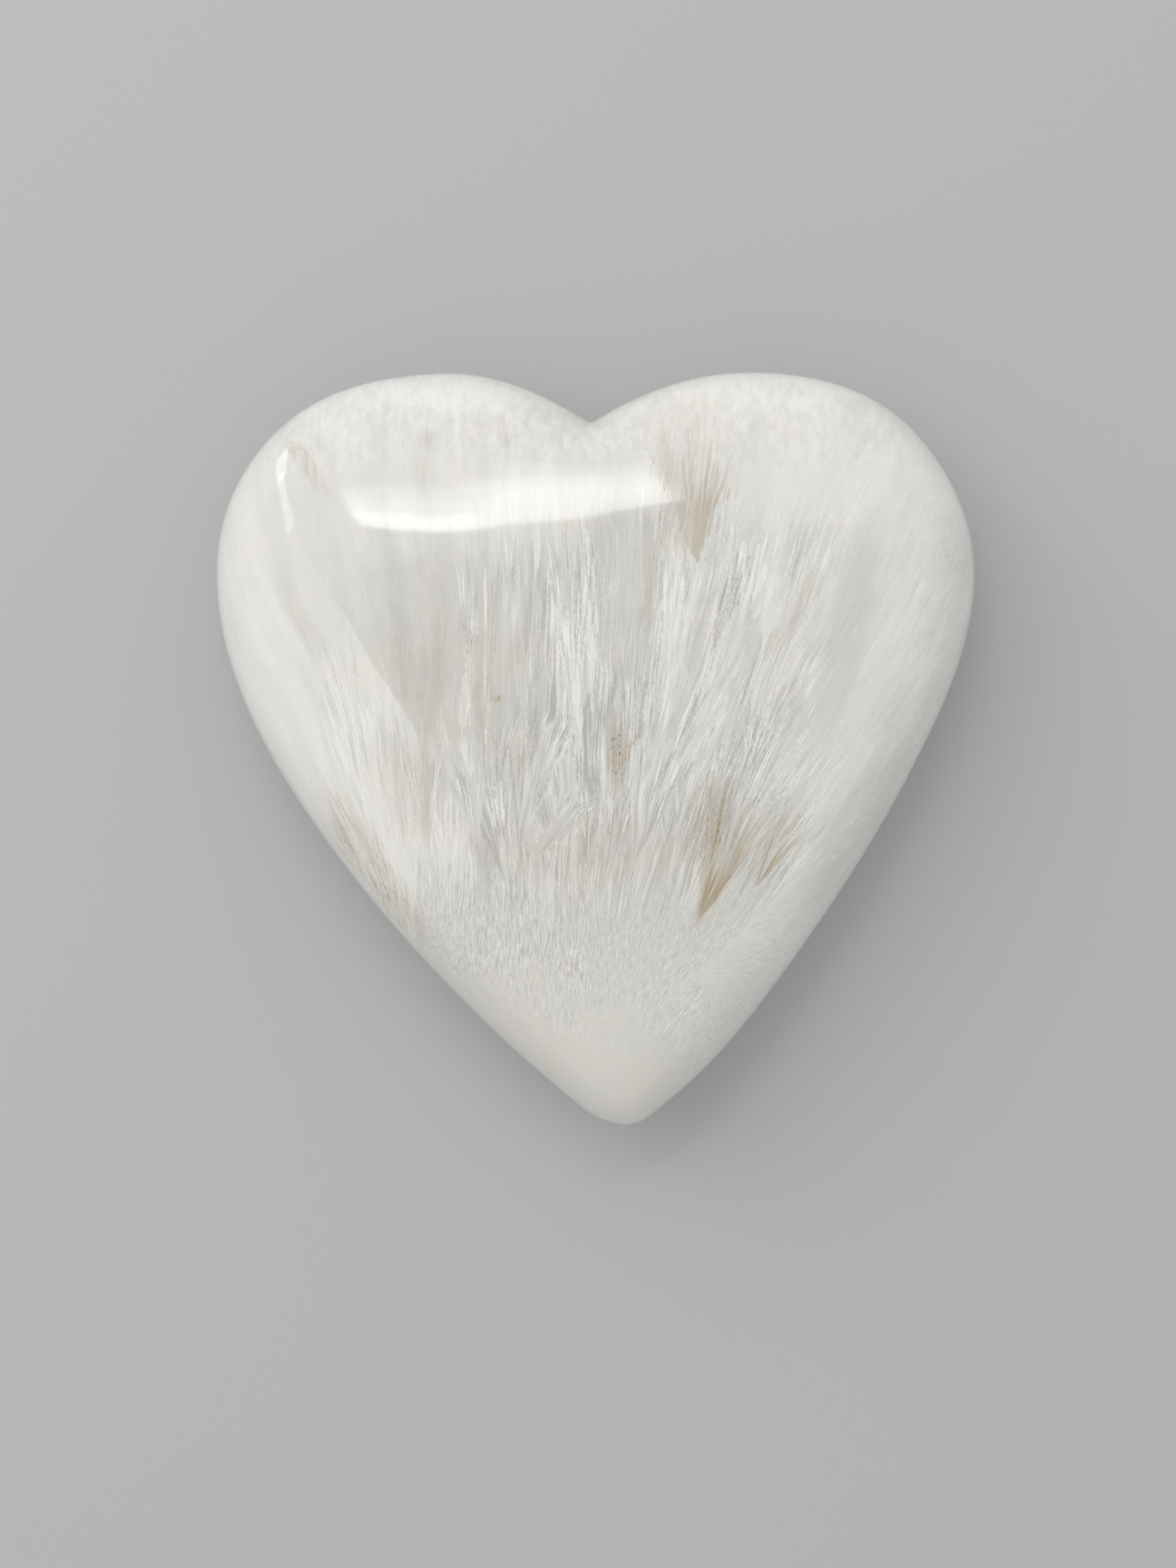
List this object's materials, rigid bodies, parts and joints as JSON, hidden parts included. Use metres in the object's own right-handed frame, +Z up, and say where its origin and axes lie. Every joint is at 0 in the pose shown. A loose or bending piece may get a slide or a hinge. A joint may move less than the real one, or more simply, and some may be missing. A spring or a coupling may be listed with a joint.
{
  "type": "polished stone heart",
  "caption": "Palm-sized puffy heart ground and polished from one piece of white scolecite, with a rounded rim, a sharp notch and a flat back to lie on.",
  "frame": {"origin": "on the surface that the stone lies on, under the middle of its bounding box", "axes": "+Z up through the stone's thickness, +Y from its point to its notch, +X to the right seen from above"},
  "size_m": [0.076, 0.0754, 0.022],
  "materials": {
    "scolecite": "polished"
  },
  "bodies": {
    "root": {"heart": "scolecite"}
  },
  "joints": []
}
